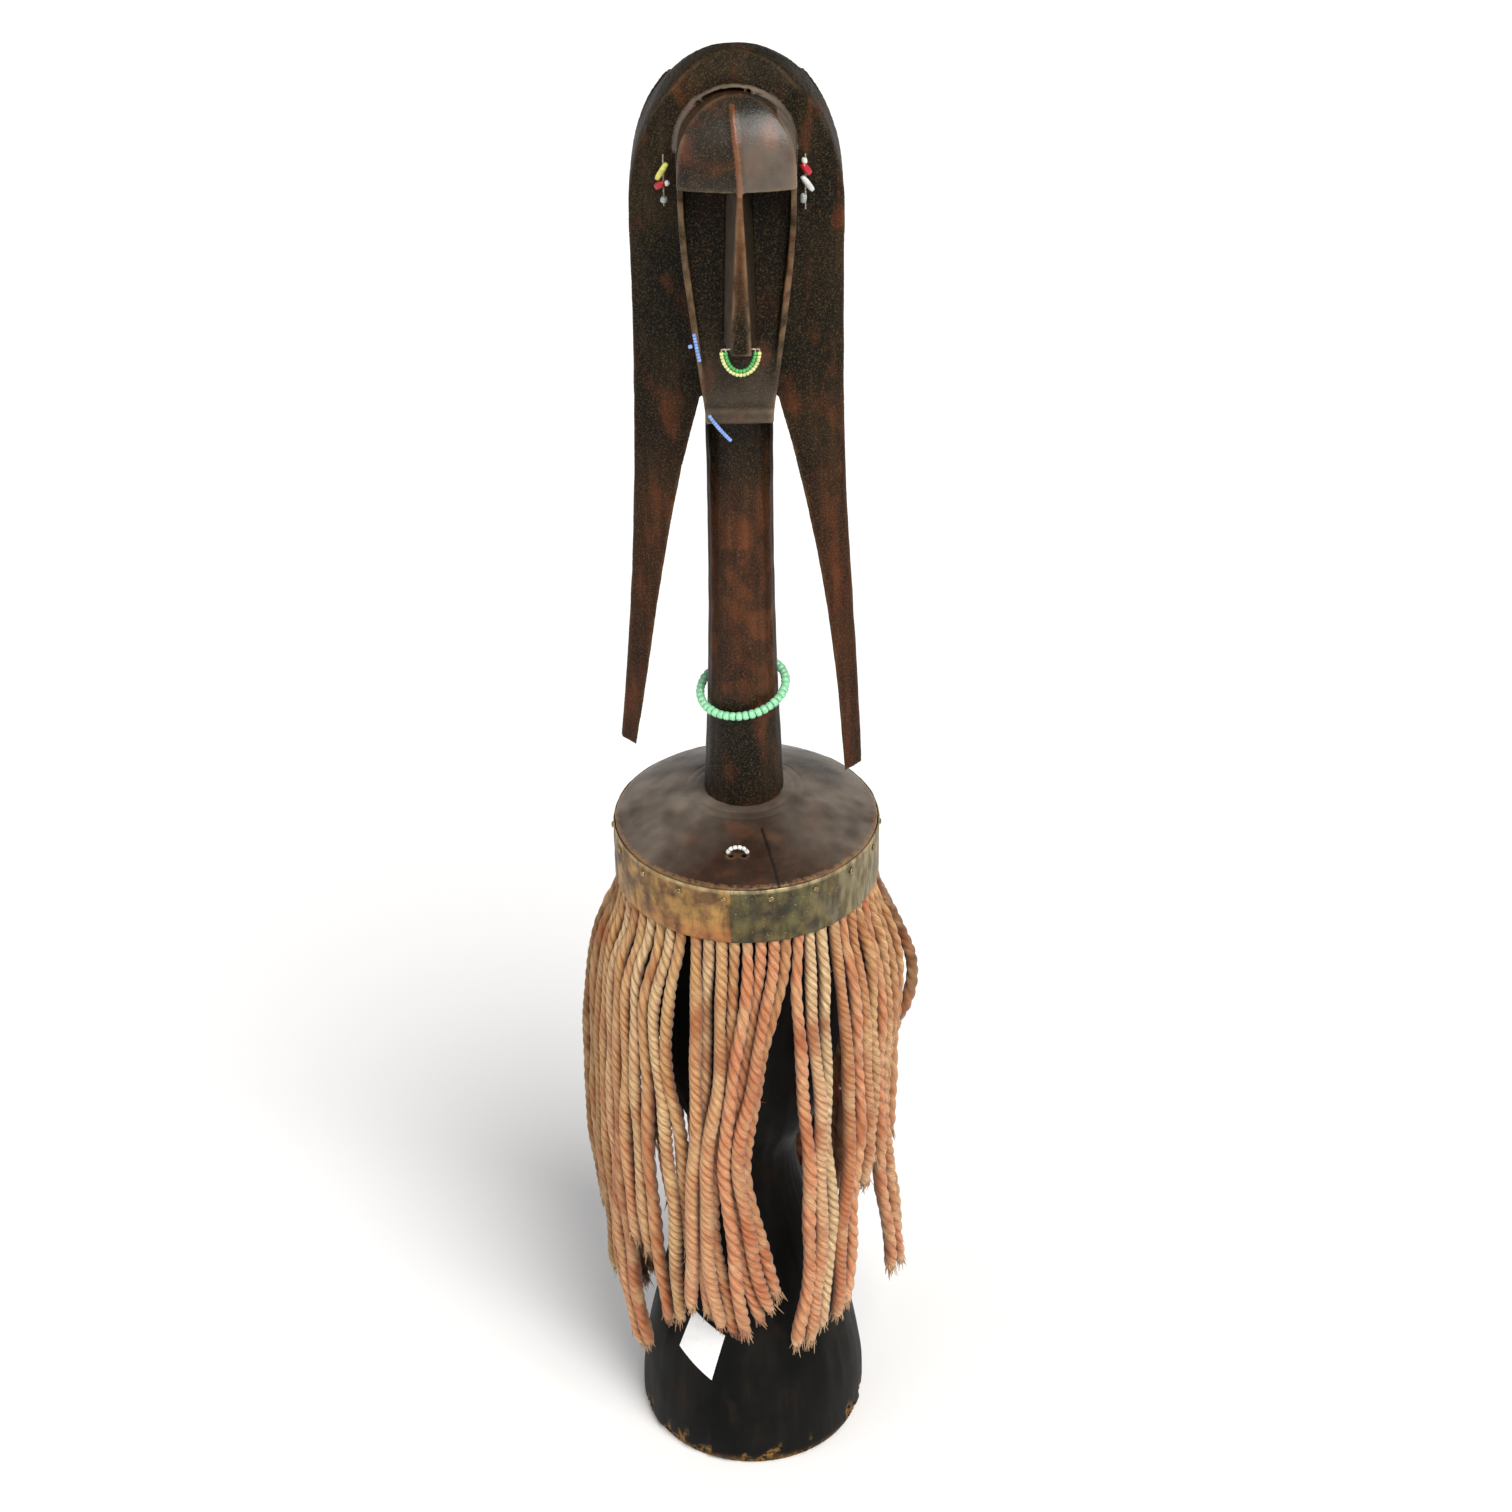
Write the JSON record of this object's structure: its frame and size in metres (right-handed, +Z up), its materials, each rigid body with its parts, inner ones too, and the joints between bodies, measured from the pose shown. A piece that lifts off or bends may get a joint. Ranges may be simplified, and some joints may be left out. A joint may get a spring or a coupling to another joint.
{
  "type": "carved ancestor figure",
  "caption": "Standing carved wooden head on a tall neck and domed disc, with a banded rim, a skirt of twisted cords, bead ornaments and a waisted pedestal.",
  "frame": {"origin": "centre of the pedestal's underside, on the surface the figure stands on", "axes": "+Z up along the neck and pedestal; the face looks along -Y; +X is the figure's own left, on the right for someone facing it"},
  "size_m": [0.156, 0.1362, 0.7],
  "materials": {
    "head_wood": "oiled and handled, satin, worn lighter on the edges",
    "disc_wood": "worn satin, greyed on the dome",
    "black_wood": "blackened, matt, chipped to brown at the foot",
    "band_brass": "tarnished, dull, brown to olive green",
    "tack_brass": "worn bright",
    "cotton_cord": "loosely twisted cotton, dyed and faded, tan to salmon",
    "tie_thread": "twisted cotton",
    "bead_thread": "waxed thread",
    "white_paper": "plain matt paper",
    "bead_mint": "opaque glass",
    "bead_green": "opaque glass",
    "bead_cream": "opaque glass",
    "bead_blue": "opaque glass",
    "bead_white": "opaque glass",
    "bead_red": "opaque glass",
    "bead_yellow": "opaque glass",
    "bead_grey": "opaque glass"
  },
  "bodies": {
    "figure": {"band_tacks": "tack_brass", "carved_head": "head_wood", "chest_bead_loop": "bead_white", "chin_bead_strand": "bead_blue", "paper_label": "white_paper", "pedestal": "black_wood", "rim_band": "band_brass", "shoulder_disc": "disc_wood", "skirt_cord_back_centre": "cotton_cord", "skirt_cord_back_left_07": "cotton_cord", "skirt_cord_back_left_10": "cotton_cord", "skirt_cord_back_left_11": "cotton_cord", "skirt_cord_back_left_12": "cotton_cord", "skirt_cord_back_right_04": "cotton_cord", "skirt_cord_back_right_07": "cotton_cord", "skirt_cord_back_right_11": "cotton_cord", "skirt_cord_back_right_12": "cotton_cord", "skirt_cord_front_centre": "cotton_cord", "skirt_cord_front_left_01": "cotton_cord", "skirt_cord_front_left_02": "cotton_cord", "skirt_cord_front_left_03": "cotton_cord", "skirt_cord_front_left_04": "cotton_cord", "skirt_cord_front_left_05": "cotton_cord", "skirt_cord_front_left_06": "cotton_cord", "skirt_cord_front_left_07": "cotton_cord", "skirt_cord_front_left_08": "cotton_cord", "skirt_cord_front_left_09": "cotton_cord", "skirt_cord_front_left_10": "cotton_cord", "skirt_cord_front_left_11": "cotton_cord", "skirt_cord_front_left_12": "cotton_cord", "skirt_cord_front_left_13": "cotton_cord", "skirt_cord_front_left_14": "cotton_cord", "skirt_cord_front_left_15": "cotton_cord", "skirt_cord_front_right_01": "cotton_cord", "skirt_cord_front_right_02": "cotton_cord", "skirt_cord_front_right_03": "cotton_cord", "skirt_cord_front_right_04": "cotton_cord", "skirt_cord_front_right_05": "cotton_cord", "skirt_cord_front_right_06": "cotton_cord", "skirt_cord_front_right_07": "cotton_cord", "skirt_cord_front_right_08": "cotton_cord", "skirt_cord_front_right_09": "cotton_cord", "skirt_cord_front_right_10": "cotton_cord", "skirt_cord_front_right_11": "cotton_cord", "skirt_cord_front_right_12": "cotton_cord", "skirt_cord_front_right_13": "cotton_cord", "skirt_cord_front_right_14": "cotton_cord", "skirt_cord_front_right_15": "cotton_cord", "skirt_cords_back_left": "cotton_cord", "skirt_cords_back_right": "cotton_cord", "skirt_tie_cord": "tie_thread"},
    "neck_string": {"neck_thread": "bead_thread", "neck_beads": "bead_mint"},
    "nose_ring": {"nose_ring_thread": "bead_thread", "nose_beads_green": "bead_green", "nose_beads_cream": "bead_cream"},
    "left_ear_drop": {"left_ear_thread": "bead_thread", "left_ear_beads": "bead_red"},
    "right_ear_drop": {"right_ear_thread": "bead_thread", "right_ear_beads": "bead_red"}
  },
  "joints": [
    {"name": "neck_string_lift", "type": "slide", "parent": "figure", "child": "neck_string", "axis": [0, 0, 1], "range_m": [0, 0.095]},
    {"name": "nose_ring_swing", "type": "hinge", "parent": "figure", "child": "nose_ring", "pos_m": [0, -0.0435, 0.594], "axis": [-1, 0, 0], "range_deg": [-25, 90]},
    {"name": "left_ear_swing", "type": "hinge", "parent": "figure", "child": "left_ear_drop", "pos_m": [-0.0286, -0.0152, 0.6605], "axis": [0, 1, 0], "range_deg": [-5, 35]},
    {"name": "right_ear_swing", "type": "hinge", "parent": "figure", "child": "right_ear_drop", "pos_m": [0.0256, -0.0152, 0.6605], "axis": [0, -1, 0], "range_deg": [-5, 35]}
  ]
}
